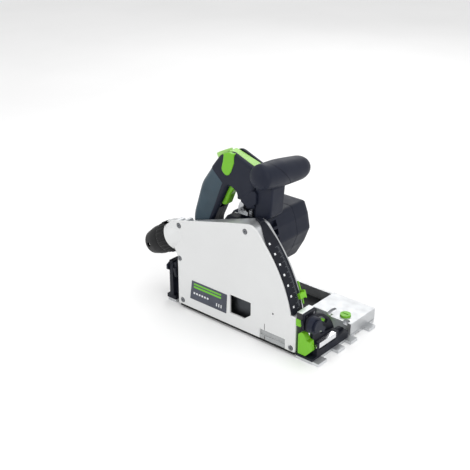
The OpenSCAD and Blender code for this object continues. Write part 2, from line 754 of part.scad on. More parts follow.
module arbor_shaft() saw(steel) difference() {
    union() {
        bar_y(arbor, 5, -0.9, 35);
        bar_y(arbor, 4, 34, 43);
    }
    bar_y(arbor, 2.5, -2, 12);
}

module spindle_gear() saw(steel) difference() {
    side(27, 34.5) translate(arbor) gear_outline(spindle_teeth, 90);
    bar_y(arbor, 5, 26, 36);
}

module inner_flange() saw(steel) difference() {
    union() {
        bar_y(arbor, 20, kerf / 2, 5);
        bar_y(arbor, 6.9, 4, 8.8);
        bar_y(arbor, blade_bore / 2, -0.6, kerf / 2 + 0.1);
    }
    bar_y(arbor, 5, -2, 10);
}

module outer_flange() saw(steel) difference() {
    bar_y(arbor, 20, -4.4, -kerf / 2);
    bar_y(arbor, 17, -kerf / 2 - 0.3, 0);
    bar_y(arbor, 2.6, -6, 0);
}

module arbor_screw() saw(black) difference() {
    union() {
        bar_y(arbor, 8, -8, -4.4);
        bar_y(arbor, 2.5, -4.5, 11.5);
    }
    translate([arbor.x, -8.5, arbor.y]) rotate([-90, 0, 0]) cylinder(r = 3.5, h = 3, $fn = 6);
}

module rotor_shaft() saw(steel) {
    bar_y(motor, 4, 27, 148);
    side(27, 34.5) translate(motor) gear_outline(pinion_teeth, -90 + 180 / pinion_teeth);
}

module rotor_core() saw(steel) difference() {
    bar_y(motor, 14.5, 62, 104);
    bar_y(motor, 4, 60, 106);
}

module cooling_fan() saw(black) difference() {
    union() {
        bar_y(motor, 8, 112, 126);
        bar_y(motor, 22.5, 112, 114);
        for (i = [0:8]) translate([motor.x, 113, motor.y]) rotate([0, i * 40, 0])
            translate([7, 0, -1]) cube([15, 12, 2]);
    }
    bar_y(motor, 4, 110, 130);
}

base_plate();
tray_liner();
slide_pads();
front_bracket();
front_bar();
rear_bracket();
bracket_screws();
front_knob();
rear_knob();
jaw_dial_front();
jaw_dial_rear();
undercut_lever();
front_latch();
guard_housing();
guard_cover();
cover_screws();
name_plate();
depth_scale();
front_segment();
rear_segment();
segment_screws();
index_button();
view_window();
dust_ring();
dust_outlet();
pivot_pin();
plunge_spring();
depth_stop();
gear_case();
bearing_plate();
spindle_bearings();
motor_bearings();
motor_housing();
motor_end_cap();
motor_screws();
stator();
electronics_module();
handle_left();
handle_right();
handle_screws();
handle_grip();
switch_module();
front_handle_neck();
front_handle_end();
power_inlet();
inlet_collar();
trigger();
start_lock();
change_lever();
speed_dial();
riving_knife();
saw_blade();
arbor_shaft();
spindle_gear();
inner_flange();
outer_flange();
arbor_screw();
rotor_shaft();
rotor_core();
cooling_fan();
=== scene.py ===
import math

import bmesh
import bpy
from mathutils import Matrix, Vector
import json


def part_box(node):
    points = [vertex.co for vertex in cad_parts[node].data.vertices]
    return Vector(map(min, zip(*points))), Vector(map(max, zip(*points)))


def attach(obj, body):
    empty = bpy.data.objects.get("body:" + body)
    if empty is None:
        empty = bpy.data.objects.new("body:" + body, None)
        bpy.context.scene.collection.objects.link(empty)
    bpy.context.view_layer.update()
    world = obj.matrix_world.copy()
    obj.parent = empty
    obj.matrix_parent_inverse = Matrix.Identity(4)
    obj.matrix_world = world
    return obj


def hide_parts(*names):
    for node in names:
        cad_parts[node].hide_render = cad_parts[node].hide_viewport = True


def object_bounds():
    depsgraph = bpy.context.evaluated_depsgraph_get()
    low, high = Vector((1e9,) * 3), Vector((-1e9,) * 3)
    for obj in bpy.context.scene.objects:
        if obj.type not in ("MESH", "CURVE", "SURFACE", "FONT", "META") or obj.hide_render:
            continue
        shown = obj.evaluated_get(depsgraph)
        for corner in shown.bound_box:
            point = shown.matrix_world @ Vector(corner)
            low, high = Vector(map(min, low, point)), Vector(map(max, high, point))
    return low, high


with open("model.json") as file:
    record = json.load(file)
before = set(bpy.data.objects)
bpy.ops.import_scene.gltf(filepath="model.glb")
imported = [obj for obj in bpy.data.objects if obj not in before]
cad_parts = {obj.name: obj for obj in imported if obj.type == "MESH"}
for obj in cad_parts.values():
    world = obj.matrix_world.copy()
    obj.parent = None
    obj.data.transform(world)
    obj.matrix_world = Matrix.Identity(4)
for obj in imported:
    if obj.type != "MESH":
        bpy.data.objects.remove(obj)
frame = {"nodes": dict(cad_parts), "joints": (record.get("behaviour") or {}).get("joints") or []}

MM = 0.001
CAD_BOX = [list(corner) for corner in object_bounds()]
JOINTS = {joint["name"]: joint for joint in frame["joints"]}
BLADE_Y = JOINTS["plunge"]["pos_m"][1]


def row(x, y, z):
    """A point of the saw's own frame, in mm from the blade plane, as metres in the shared frame."""
    return Vector((x * MM, y * MM + BLADE_Y, z * MM))


def joint_at(name):
    x, y, z = JOINTS[name]["pos_m"]
    return Vector((x / MM, z / MM))


def box_mm(node):
    """A CAD node's lowest and highest corner in the saw's own frame."""
    return [Vector((c.x / MM, (c.y - BLADE_Y) / MM, c.z / MM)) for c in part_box(node)]


# ---- Camera ----

AZIMUTH, ELEVATION = math.radians(40.9), math.radians(24.88)
CAMERA_DISTANCE = 1.5164
LENS, SENSOR = 70.35, 36
AIM_LEFT, AIM_DOWN = 0.0382, 0.0073

view_back = Vector((math.sin(AZIMUTH) * math.cos(ELEVATION), -math.cos(AZIMUTH) * math.cos(ELEVATION),
                    math.sin(ELEVATION)))
view_right = Vector((math.cos(AZIMUTH), math.sin(AZIMUTH), 0))
view_up = view_back.cross(view_right)
middle = (Vector(CAD_BOX[0]) + Vector(CAD_BOX[1])) / 2
aim = middle - view_right * AIM_LEFT - view_up * AIM_DOWN

camera_data = bpy.data.cameras.new("camera")
camera_data.lens = LENS
camera_data.sensor_width = SENSOR
camera = bpy.data.objects.new("camera", camera_data)
camera.location = aim + view_back * CAMERA_DISTANCE
camera.rotation_euler = view_back.to_track_quat("Z", "Y").to_euler()
bpy.context.scene.collection.objects.link(camera)
bpy.context.scene.camera = camera


# ---- Outlines ----

def polar(centre, radius, degrees):
    angle = math.radians(degrees)
    return Vector((centre[0] + radius * math.cos(angle), centre[1] + radius * math.sin(angle)))


def arc(centre, radius, start, end, steps):
    return [polar(centre, radius, start + (end - start) * i / steps) for i in range(steps + 1)]


def rounded(points, steps=6):
    """An outline of (x, z, corner radius) points with its corners rounded."""
    out = []
    for i, (x, z, radius) in enumerate(points):
        here = Vector((x, z))
        if radius == 0:
            out.append(here)
            continue
        before = Vector(points[i - 1][:2]) - here
        after = Vector(points[(i + 1) % len(points)][:2]) - here
        u, v = before.normalized(), after.normalized()
        half = u.angle(v) / 2
        middle = here + (u + v).normalized() * radius / math.sin(half)
        first = here + u * radius / math.tan(half) - middle
        last = here + v * radius / math.tan(half) - middle
        turn = math.copysign(math.pi - 2 * half, first.x * last.y - first.y * last.x)
        for k in range(steps + 1):
            t = turn * k / steps
            out.append(middle + Vector((first.x * math.cos(t) - first.y * math.sin(t),
                                        first.x * math.sin(t) + first.y * math.cos(t))))
    return out


def anticlockwise(points):
    """Outline points, or (x, z, corner radius) points, in anticlockwise order and with a radius each."""
    points = [tuple(p) if len(p) == 3 else (p[0], p[1], 0) for p in points]
    area = sum(a[0] * b[1] - b[0] * a[1] for a, b in zip(points, points[1:] + points[:1], strict=True))
    return points if area > 0 else points[::-1]


def drawn_in(points, distance, steps=6):
    """The outline of anticlockwise (x, z, corner radius) points, moved inwards, its corners kept round."""
    out = []
    for i, point in enumerate(points):
        here = Vector(point[:2])
        into = (here - Vector(points[i - 1][:2])).normalized()
        on = (Vector(points[(i + 1) % len(points)][:2]) - here).normalized()
        a, b = Vector((-into.y, into.x)), Vector((-on.y, on.x))
        mean = (a + b).normalized()
        moved = here + mean * distance / max(0.4, mean.dot(a))
        outward = into.x * on.y - into.y * on.x > 0
        radius = point[2] and max(0.02, point[2] - distance if outward else point[2] + distance)
        out.append((moved.x, moved.y, radius))
    return rounded(out, steps)


# ---- Mesh building ----

def new_object(name, verts, faces):
    mesh = bpy.data.meshes.new(name)
    mesh.from_pydata([tuple(v) for v in verts], [], faces)
    shape = bmesh.new()
    shape.from_mesh(mesh)
    bmesh.ops.remove_doubles(shape, verts=shape.verts, dist=1e-7)
    bmesh.ops.recalc_face_normals(shape, faces=shape.faces)
    shape.to_mesh(mesh)
    shape.free()
    thing = bpy.data.objects.new(name, mesh)
    bpy.context.scene.collection.objects.link(thing)
    return thing


def rings(name, loops, closed=False):
    """A skin over loops of points, capped at both ends or joined end to end."""
    count = len(loops[0])
    verts = [v for loop in loops for v in loop]
    faces = []
    for k in range(len(loops) if closed else len(loops) - 1):
        a, b = k * count, ((k + 1) % len(loops)) * count
        faces += [(a + i, a + (i + 1) % count, b + (i + 1) % count, b + i) for i in range(count)]
    if not closed:
        faces += [tuple(range(count))[::-1], tuple(range(len(verts) - count, len(verts)))]
    return new_object(name, verts, faces)


def edge_steps(radius, steps):
    """(inset, depth) pairs down a rounded edge, from its flat face to its side."""
    if radius == 0:
        return [(0, 0)]
    quarter = [math.pi / 2 * k / steps for k in range(steps + 1)]
    return [(radius * (1 - math.sin(t)), radius * (1 - math.cos(t))) for t in quarter]


def side_body(name, outline, y0, y1, round0=0.0, round1=0.0, steps=5):
    """An outline in X and Z drawn out along Y, with its two rims rounded."""
    outline = anticlockwise(outline)
    near = [(y0 + depth, gap) for gap, depth in edge_steps(round0, steps)]
    far = [(y1 - depth, gap) for gap, depth in edge_steps(round1, steps)][::-1]
    loops = [[row(p.x, y, p.y) for p in drawn_in(outline, gap)] for y, gap in near + far]
    return rings(name, loops)


def block(name, low, high):
    corners = [Vector((low[0], low[2])), Vector((high[0], low[2])), Vector((high[0], high[2])),
               Vector((low[0], high[2]))]
    return side_body(name, corners, low[1], high[1])


def turned(name, profile, origin, axis, sides=72, shape=None):
    """A closed profile of (radius, height) points turned about an axis, its radius shaped by angle."""
    axis = Vector(axis).normalized()
    across = axis.orthogonal().normalized()
    other = axis.cross(across)
    loops = []
    for i in range(sides):
        angle = 2 * math.pi * i / sides
        out = across * math.cos(angle) + other * math.sin(angle)
        loop = []
        for radius, height in profile:
            reach = radius + (shape(radius, height, angle) if shape and radius > 0 else 0)
            loop.append(row(*(Vector(origin) + axis * height + out * reach)))
        loops.append(loop)
    return rings(name, loops, closed=True)


def settle(thing):
    """Turns an object's modifiers into its mesh."""
    bpy.context.view_layer.update()
    mesh = bpy.data.meshes.new_from_object(thing.evaluated_get(bpy.context.evaluated_depsgraph_get()))
    thing.modifiers.clear()
    thing.data = mesh


def combine(thing, others, operation="DIFFERENCE"):
    """Cuts, joins or intersects an object with others, which are used up."""
    for other in others:
        step = thing.modifiers.new(operation.lower(), "BOOLEAN")
        step.operation = operation
        step.solver = "EXACT"
        step.object = other
        settle(thing)
        bpy.data.objects.remove(other)


def soften(thing, width, segments=2, limit=32):
    """Rounded edges that catch the light, and flat faces that shade flat."""
    weld = thing.modifiers.new("weld", "WELD")
    weld.merge_threshold = 2e-6
    bevel = thing.modifiers.new("bevel", "BEVEL")
    bevel.width = width * MM
    bevel.segments = segments
    bevel.limit_method = "ANGLE"
    bevel.angle_limit = math.radians(limit)
    bevel.miter_outer = "MITER_ARC"
    normals = thing.modifiers.new("normals", "WEIGHTED_NORMAL")
    normals.keep_sharp = True
    thing.data.shade_smooth()
    thing.data.set_sharp_from_angle(angle=math.radians(limit + 8))


def place(thing, body, material, replaced=(), bevel=0.0):
    """Puts a finished piece on its body, with its finish and the CAD nodes it stands for."""
    thing.data.materials.clear()
    thing.data.materials.append(material)
    if bevel:
        soften(thing, bevel)
    else:
        thing.data.shade_smooth()
        thing.data.set_sharp_from_angle(angle=math.radians(38))
        thing.modifiers.new("normals", "WEIGHTED_NORMAL").keep_sharp = True
    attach(thing, body)
    if replaced:
        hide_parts(*replaced)


# ---- Materials ----

METAL_SHARE = 0.75
# Metallic share of the guard's inner wall, where the shade inside the guard is painted on
PAINTED_SHADE_METAL_SHARE = 0.05

def srgb(red, green, blue):
    """A display colour from 0 to 255 as the linear colour that shaders take."""
    def linear(v):
        v /= 255
        return v / 12.92 if v <= 0.04045 else ((v + 0.055) / 1.055) ** 2.4
    return (linear(red), linear(green), linear(blue), 1)


class Nodes:
    """A material's nodes, made and linked by short calls."""

    def __init__(self, name):
        self.material = bpy.data.materials.new(name)
        self.material.use_nodes = True
        self.tree = self.material.node_tree
        self.shader = self.tree.nodes["Principled BSDF"]
        self.place = self.new("ShaderNodeTexCoord").outputs["Object"]

    def new(self, kind, **values):
        node = self.tree.nodes.new(kind)
        for key, value in values.items():
            setattr(node, key, value)
        return node

    def link(self, source, target):
        self.tree.links.new(source, target)

    def stretched(self, scale):
        node = self.new("ShaderNodeMapping")
        node.inputs["Scale"].default_value = scale
        self.link(self.place, node.inputs["Vector"])
        return node.outputs["Vector"]

    def noise(self, scale, detail=3.0, stretch=None, rough=0.5):
        node = self.new("ShaderNodeTexNoise")
        node.inputs["Scale"].default_value = scale
        node.inputs["Detail"].default_value = detail
        node.inputs["Roughness"].default_value = rough
        self.link(self.stretched(stretch) if stretch else self.place, node.inputs["Vector"])
        return node.outputs["Fac"]

    def span(self, source, low, high, start=0.3, end=0.7):
        node = self.new("ShaderNodeMapRange")
        node.inputs["From Min"].default_value = start
        node.inputs["From Max"].default_value = end
        node.inputs["To Min"].default_value = low
        node.inputs["To Max"].default_value = high
        self.link(source, node.inputs["Value"])
        return node.outputs["Result"]

    def mix(self, factor, first, second, blend="MIX"):
        node = self.new("ShaderNodeMix", data_type="RGBA", blend_type=blend)
        self.link(factor, node.inputs["Factor"])
        for value, socket in ((first, node.inputs["A"]), (second, node.inputs["B"])):
            if isinstance(value, tuple):
                socket.default_value = value
            else:
                self.link(value, socket)
        return node.outputs["Result"]

    def bump(self, *heights):
        """Bump from (source, strength, depth in mm) layers, the finest last."""
        normal = None
        for source, strength, depth in heights:
            node = self.new("ShaderNodeBump")
            node.inputs["Strength"].default_value = strength
            node.inputs["Distance"].default_value = depth * MM
            self.link(source, node.inputs["Height"])
            if normal:
                self.link(normal, node.inputs["Normal"])
            normal = node.outputs["Normal"]
        self.link(normal, self.shader.inputs["Normal"])

    def edges(self, low=0.52, high=0.62):
        """From 0 on flat ground to 1 on worn, outward edges."""
        return self.span(self.new("ShaderNodeNewGeometry").outputs["Pointiness"], 0, 1, low, high)


def shaded(colour, factor):
    return tuple(min(1, c * factor) for c in colour[:3]) + (1,)


def moulded_plastic(name, colour, rough=0.5, grain=900, depth=0.05, coat=0.0, worn=1.5, mottle=0.12):
    """Injection-moulded plastic: a fine eroded grain, faint flow marks and polished edges."""
    n = Nodes(name)
    flow = n.noise(14, 4)
    fine = n.noise(grain, 2)
    base = n.mix(n.span(flow, 0, 1), shaded(colour, 1 - mottle), shaded(colour, 1 + mottle))
    rubbed = n.mix(n.span(n.noise(70, 5), 0, 1, 0.45, 0.65), (0, 0, 0, 1), (1, 1, 1, 1))
    edge = n.new("ShaderNodeMath", operation="MULTIPLY")
    n.link(n.edges(), edge.inputs[0])
    n.link(rubbed, edge.inputs[1])
    n.link(n.mix(edge.outputs[0], base, shaded(colour, worn)), n.shader.inputs["Base Color"])
    n.link(n.span(n.noise(38, 4), rough - 0.06, rough + 0.07), n.shader.inputs["Roughness"])
    n.bump((flow, 0.1, 0.4), (fine, 0.35, depth))
    n.shader.inputs["Coat Weight"].default_value = coat
    n.shader.inputs["Coat Roughness"].default_value = 0.25
    n.shader.inputs["Specular IOR Level"].default_value = 0.24
    return n.material


def soft_rubber(name, colour, light):
    """Overmoulded rubber: a dusty bloom over a pebbled surface."""
    n = Nodes(name)
    cells = n.new("ShaderNodeTexVoronoi", feature="SMOOTH_F1")
    cells.inputs["Scale"].default_value = 1300
    n.link(n.place, cells.inputs["Vector"])
    bloom = n.noise(22, 5)
    n.link(n.mix(n.span(bloom, 0, 1), colour, light), n.shader.inputs["Base Color"])
    n.link(n.span(n.noise(60, 3), 0.52, 0.68), n.shader.inputs["Roughness"])
    n.bump((bloom, 0.08, 0.4), (cells.outputs["Distance"], 0.3, 0.05))
    n.shader.inputs["Sheen Weight"].default_value = 0.25
    n.shader.inputs["Sheen Roughness"].default_value = 0.5
    return n.material


def painted_sheet(name, colour):
    """Satin powder coat: orange peel, faint dust and edges rubbed to a lighter tone."""
    n = Nodes(name)
    peel = n.noise(420, 2)
    dust = n.noise(9, 6, rough=0.6)
    base = n.mix(n.span(dust, 0, 1), shaded(colour, 0.975), shaded(colour, 1.02))
    n.link(n.mix(n.edges(0.54, 0.66), base, shaded(colour, 1.1)), n.shader.inputs["Base Color"])
    n.link(n.span(n.noise(45, 4), 0.34, 0.46), n.shader.inputs["Roughness"])
    n.bump((peel, 0.12, 0.06))
    n.shader.inputs["Coat Weight"].default_value = 0.2
    n.shader.inputs["Coat Roughness"].default_value = 0.3
    return n.material


def cast_metal(name, colour, rough=0.36, grain=650, inner_shade=None):
    """Bead-blasted light alloy with brighter, rubbed edges, and, if given, painted shade: a dark colour on
    the inner wall that faces the blade.
    """
    n = Nodes(name)
    cloud = n.noise(26, 5)
    base = n.mix(n.span(cloud, 0, 1), shaded(colour, 0.9), shaded(colour, 1.06))
    finish = n.mix(n.edges(0.53, 0.63), base, shaded(colour, 1.25))
    if inner_shade:
        # The inner wall is what faces the blade, so its normal points along -Y; it gets the painted shade
        # colour and little metal, as the shade inside the guard
        facing = n.new("ShaderNodeSeparateXYZ")
        n.link(n.new("ShaderNodeTexCoord").outputs["Normal"], facing.inputs[0])
        inner = n.new("ShaderNodeMath", operation="LESS_THAN")
        n.link(facing.outputs["Y"], inner.inputs[0])
        inner.inputs[1].default_value = -0.7
        finish = n.mix(inner.outputs[0], finish, inner_shade)
        n.link(n.span(inner.outputs[0], METAL_SHARE, PAINTED_SHADE_METAL_SHARE, 0, 1), n.shader.inputs["Metallic"])
    else:
        n.shader.inputs["Metallic"].default_value = METAL_SHARE
    n.link(finish, n.shader.inputs["Base Color"])
    n.link(n.span(n.noise(80, 4), rough - 0.08, rough + 0.1), n.shader.inputs["Roughness"])
    n.bump((cloud, 0.06, 0.5), (n.noise(grain, 2), 0.3, 0.05))
    return n.material


def ground_steel(name, colour, rough=0.28, stretch=(1, 60, 1), metallic=1.0):
    """Steel with fine grinding lines along one direction and a few stains."""
    n = Nodes(name)
    lines = n.noise(90, 4, stretch=stretch)
    stain = n.noise(30, 5)
    base = n.mix(n.span(lines, 0, 1), shaded(colour, 0.86), shaded(colour, 1.08))
    n.link(n.mix(n.span(stain, 0, 0.4, 0.5, 0.75), base, shaded(colour, 0.72)), n.shader.inputs["Base Color"])
    n.link(n.span(lines, rough - 0.07, rough + 0.1), n.shader.inputs["Roughness"])
    n.bump((lines, 0.12, 0.04))
    n.shader.inputs["Metallic"].default_value = metallic
    return n.material


def clear_plastic(name):
    """Clear polycarbonate, lightly scratched, that greys what is behind it."""
    n = Nodes(name)
    scratch = n.noise(60, 5, stretch=(1, 1, 14))
    n.link(n.mix(n.span(scratch, 0, 1, 0.5, 0.8), srgb(196, 199, 200), srgb(222, 224, 224)),
           n.shader.inputs["Base Color"])
    n.link(n.span(scratch, 0.12, 0.3), n.shader.inputs["Roughness"])
    n.bump((scratch, 0.1, 0.05))
    n.shader.inputs["Alpha"].default_value = 0.55
    return n.material


def printed(name, colour):
    """Screen-printed ink, slightly uneven."""
    n = Nodes(name)
    ink = n.noise(500, 3)
    tint = n.mix(n.span(ink, 0, 1), shaded(colour, 0.88), shaded(colour, 1.05))
    n.link(tint, n.shader.inputs["Base Color"])
    n.link(n.span(n.noise(200, 2), 0.4, 0.55), n.shader.inputs["Roughness"])
    n.bump((ink, 0.15, 0.02))
    return n.material


def wound_copper(name):
    """Varnished windings: copper strands over dark laminations."""
    n = Nodes(name)
    strands = n.noise(240, 2, stretch=(1, 0.05, 1))
    n.link(n.mix(n.span(strands, 0, 1), srgb(74, 40, 22), srgb(176, 104, 56)), n.shader.inputs["Base Color"])
    n.link(n.span(strands, 0.3, 0.5), n.shader.inputs["Roughness"])
    n.bump((strands, 0.4, 0.2))
    n.shader.inputs["Metallic"].default_value = 0.6
    return n.material


white_paint = painted_sheet("white_paint", srgb(216, 217, 217))
slate = moulded_plastic("slate_shell", srgb(24, 29, 44))
slate_dark = moulded_plastic("slate_dark", srgb(17, 20, 30), rough=0.55)
black = moulded_plastic("black_mould", srgb(13, 14, 16), rough=0.5, worn=1.9)
green = moulded_plastic("green_button", srgb(112, 184, 30), rough=0.36, grain=1400, depth=0.02, coat=0.3,
                        worn=1.12, mottle=0.05)
lime = moulded_plastic("lime_button", srgb(158, 206, 112), rough=0.38, grain=1400, depth=0.02, coat=0.3,
                       worn=1.08, mottle=0.05)
rubber = soft_rubber("grip_rubber", srgb(20, 48, 62), srgb(30, 61, 76))
alloy = cast_metal("cast_alloy", srgb(196, 198, 200))
# The guard's inner wall is painted near black as the shade inside the guard
guard_alloy = cast_metal("guard_alloy", srgb(196, 198, 200), inner_shade=srgb(16, 17, 19))
steel = ground_steel("ground_steel", srgb(196, 198, 201))
blade_steel = ground_steel("blade_steel", srgb(74, 76, 80), rough=0.42, stretch=(4, 1, 4))
screw_steel = ground_steel("screw_steel", srgb(122, 124, 128), rough=0.4, stretch=(1, 1, 1), metallic=0.9)
bright_bar = ground_steel("bright_bar", srgb(235, 236, 238), rough=0.18, stretch=(60, 1, 60))
pad = moulded_plastic("slide_pad", srgb(120, 124, 130), rough=0.4)
window = clear_plastic("window_clear")
white_ink = printed("white_ink", srgb(226, 228, 230))
grey_ink = printed("grey_ink", srgb(120, 124, 130))
green_ink = printed("green_ink", srgb(104, 186, 36))
label_face = moulded_plastic("label_face", srgb(70, 73, 84), rough=0.4, grain=2000, depth=0.01)
copper = wound_copper("wound_copper")


# ---- Guard ----

PIVOT = joint_at("plunge")
GUARD_FRONT = 112
GUARD_BACK = -139
GUARD_FOOT = box_mm("guard_cover")[0].z
SHOULDER_Z = 69
COVER_Y = -12
SHEET = 3
FRONT_R = 238
BAND_NEAR = -8.7
BAND_THICK, BAND_THIN = 3.6, 1.2
MARK_RISE = 3.72
TOP_SLOPE = math.tan(math.radians(14.5))
DUST_AXIS = Vector(JOINTS["dust_swivel"]["axis"])
DUST_AT = Vector((joint_at("dust_swivel").x, 8, joint_at("dust_swivel").y))


def top_of_guard(x):
    return 157.5 + (x + 146) * TOP_SLOPE


def dust_edge(across):
    """A point of the edge that carries the dust collar, that far from the collar's axis."""
    base = Vector((DUST_AT.x, DUST_AT.z)) + Vector((DUST_AXIS.x, DUST_AXIS.z)) * 9
    return (base.x + across * DUST_AXIS.z, base.y - across * DUST_AXIS.x, 3)


def front_line(reach, start, end):
    return arc(PIVOT, reach, start, end, 30)


def guard_shape():
    """The cover's outline: straight foot, curved front about the pivot, sloped top and dust collar edge."""
    low = math.degrees(math.asin((SHOULDER_Z - PIVOT.y) / FRONT_R))
    crown = polar(PIVOT, FRONT_R, 47) + Vector((-6, 10))
    front = front_line(FRONT_R, low, 41)
    points = [(GUARD_BACK, GUARD_FOOT, 1), (GUARD_FRONT, GUARD_FOOT, 3), (GUARD_FRONT, SHOULDER_Z, 2)]
    points += [(p.x, p.y, 0) for p in front]
    points += [(crown.x, crown.y, 22), (-30, top_of_guard(-30), 0), (-152, top_of_guard(-152), 6)]
    return points + [dust_edge(22), dust_edge(-26), (GUARD_BACK, 93, 0)]


COVER_SCREWS = [(-134, 152), (-134, 92), (-129, 14.5), (9, 184), (103.5, 12.5)]


def screw_well(x, z, radius, depth):
    return side_body("well", arc((x, z), radius, 0, 345, 23), COVER_Y - 1, COVER_Y + depth)


def guard_cover():
    sheet = side_body("cover_sheet", guard_shape(), COVER_Y, COVER_Y + SHEET, round0=1.7, round1=0.3)
    window_cut = [(-22, 29, 1), (8, 29, 0.5), (22, 40, 4), (22, 63, 1), (-22, 63, 1)]
    cuts = [side_body("cut", window_cut, COVER_Y - 1, COVER_Y + SHEET + 1)]
    cuts.append(block("cut", (41, COVER_Y - 1, 0), (92, COVER_Y + SHEET + 1, 24)))
    cuts += [screw_well(x, z, 5.0, 2) for x, z in COVER_SCREWS]
    cuts += [screw_well(x, z, 2.2, 6) for x, z in COVER_SCREWS]
    cuts.append(screw_well(67, 60, 1.9, 6))
    combine(sheet, cuts)
    place(sheet, "guard", white_paint, ["guard_cover"], bevel=0.35)


def collar():
    """A ring outside the cover's edge, and a swelling over the sheet that it grows out of."""
    profile = [(22, 9.05), (26.2, 9.05), (27, 10), (27, 13.2), (26.2, 14.05), (22.6, 14.05), (22, 13.4)]
    ring = turned("collar_ring", profile, DUST_AT, DUST_AXIS, sides=96)
    place(ring, "guard", white_paint)
    axis = Vector((DUST_AXIS.x, 0, DUST_AXIS.z))
    side = Vector((-axis.z, 0, axis.x))
    loops = []
    for k in range(30):
        along = 9.4 - 1.25 * k
        fade = min(1, max(0, (9 - along) / 34))
        reach = 27 - 7.2 * fade * fade * (3 - 2 * fade)
        loop = []
        for i in range(41):
            angle = math.radians(180 + 180 * i / 40)
            spot = DUST_AT + axis * along + side * (math.cos(angle) * reach)
            spot.y += math.sin(angle) * reach
            spot.y = min(spot.y, COVER_Y + 0.5)
            loop.append(row(*spot))
        loops.append(loop)
    swell = rings("collar_swell", loops)
    place(swell, "guard", white_paint)


def band_path():
    """The guard's edge from the foot of the curved front, over the shoulder and down the sloping top."""
    edge = rounded(guard_shape(), 14)
    first = min(range(len(edge)), key=lambda i: (edge[i] - polar(PIVOT, FRONT_R, 13.2)).length)
    last = min(range(len(edge)), key=lambda i: (edge[i] - Vector((4, top_of_guard(4)))).length)
    return edge[first:last + 1]


def scale_band():
    """The dark strip that carries the depth marks, wraps the guard's shoulder and tapers along its top."""
    far = box_mm("depth_scale")[1].y
    path = band_path()
    run = [0]
    for a, b in zip(path, path[1:]):
        run.append(run[-1] + (b - a).length)
    loops = []
    for k, spot in enumerate(path):
        ahead = (path[min(k + 1, len(path) - 1)] - path[max(k - 1, 0)]).normalized()
        out = Vector((ahead.y, -ahead.x))
        left = run[-1] - run[k]
        wide = min(1, 0.25 + left / 60)
        near = far - (far - BAND_NEAR) * wide
        thick = BAND_THICK if (spot - PIVOT).length < FRONT_R + 0.1 else BAND_THIN
        section = [(0.15, near), (thick - 0.4, near), (thick, near + 0.5), (thick, far - 0.6),
                   (thick - 0.5, far), (0.15, far)]
        loop = []
        for rise, y in section:
            corner = spot + out * rise
            loop.append(row(corner.x, y, corner.y))
        loops.append(loop)
    band = rings("scale_band", loops)
    place(band, "guard", slate_dark, ["depth_scale"])


def band_mark(start, end, y0, y1):
    """The two end loops of a thin mark that lies on the band."""
    loops = []
    for angle in (start, end):
        inner = polar(PIVOT, FRONT_R + MARK_RISE - 0.3, angle)
        outer = polar(PIVOT, FRONT_R + MARK_RISE, angle)
        loops.append([row(inner.x, y0, inner.y), row(outer.x, y0, outer.y), row(outer.x, y1, outer.y),
                      row(inner.x, y1, inner.y)])
    return loops


def joined(name, loop_sets):
    """One object of many small closed skins."""
    verts, faces = [], []
    for loops in loop_sets:
        count, first = len(loops[0]), len(verts)
        verts += [v for loop in loops for v in loop]
        for k in range(len(loops) - 1):
            a = first + k * count
            faces += [(a + i, a + (i + 1) % count, a + count + (i + 1) % count, a + count + i)
                      for i in range(count)]
        last = first + (len(loops) - 1) * count
        faces += [tuple(range(first, first + count))[::-1], tuple(range(last, last + count))]
    return new_object(name, verts, faces)


def scale_marks():
    """A row of square dots down the near side of the band, with short ticks on the far side."""
    dots = [band_mark(15.4 + 4.15 * k, 16.2 + 4.15 * k, -6.0, -2.4) for k in range(7)]
    place(joined("scale_dots", dots), "guard", white_ink)
    ticks = []
    for k in range(61):
        angle = 14.6 + 0.4 * k
        ticks.append(band_mark(angle, angle + 0.08, 3.0 if k % 5 == 0 else 7.0, 10.5))
    place(joined("scale_ticks", ticks), "guard", grey_ink)


def label():
    """The name plate with plain stripes in place of any lettering."""
    low = box_mm("name_plate")[0]
    corners = [(-111, 24.7, 0.8), (-30, 24.7, 0.8), (-28, 60, 0.8), (-106, 60, 0.8)]
    plate = side_body("label_plate", corners, low.y, COVER_Y + 0.05, round0=0.2, steps=2)
    place(plate, "guard", label_face, ["name_plate"])

    def stripe(x0, x1, z0, z1):
        lean = 0.07
        points = [Vector((x0 - lean * (60 - z0), z0)), Vector((x1 - lean * (60 - z0), z0)),
                  Vector((x1 - lean * (60 - z1), z1)), Vector((x0 - lean * (60 - z1), z1))]
        return [[row(p.x, y, p.y) for p in points] for y in (low.y - 0.05, low.y + 0.2)]

    greens = [stripe(-101, -40, 53.6, 56.6), stripe(-101, -40, 47.8, 51.2)]
    place(joined("label_green", greens), "guard", green_ink)
    whites = [stripe(-101 + 6 * k, -97.4 + 6 * k, 36, 39.4) for k in range(6)]
    whites += [stripe(-50 + 5 * k, -48 + 5 * k, 30.5, 36.5) for k in range(3)]
    place(joined("label_white", whites), "guard", white_ink)


def window_line():
    low = box_mm("view_window")[0]
    line = block("window_line", (50.4, COVER_Y + 0.33, low.z + 0.8), (51.4, COVER_Y + 0.7, low.z + 7))
    place(line, "window", black)


def cover_trim():
    """The cut line above the sight window, and the black strip along the cover's foot: a rubber strip,
    painted black also as the shade in the gap under the cover.
    """
    line = block("sight_line", (50.2, COVER_Y - 0.05, 24.3), (51.2, COVER_Y + 0.3, 36))
    place(line, "guard", black)
    # Black strip at the cover's foot: part rubber strip, part painted shade of the gap below the cover
    edge = [(-134, 3.7, 0.3), (111.4, 3.7, 0.3), (111.4, 5.4, 0.3), (-134, 5.4, 0.3)]
    strip = side_body("foot_strip", edge, COVER_Y - 0.1, COVER_Y + 2.6, round0=0.2, steps=2)
    place(strip, "guard", black)


guard_cover()
collar()
cover_trim()
scale_band()
scale_marks()
label()


# ---- Dust port ----

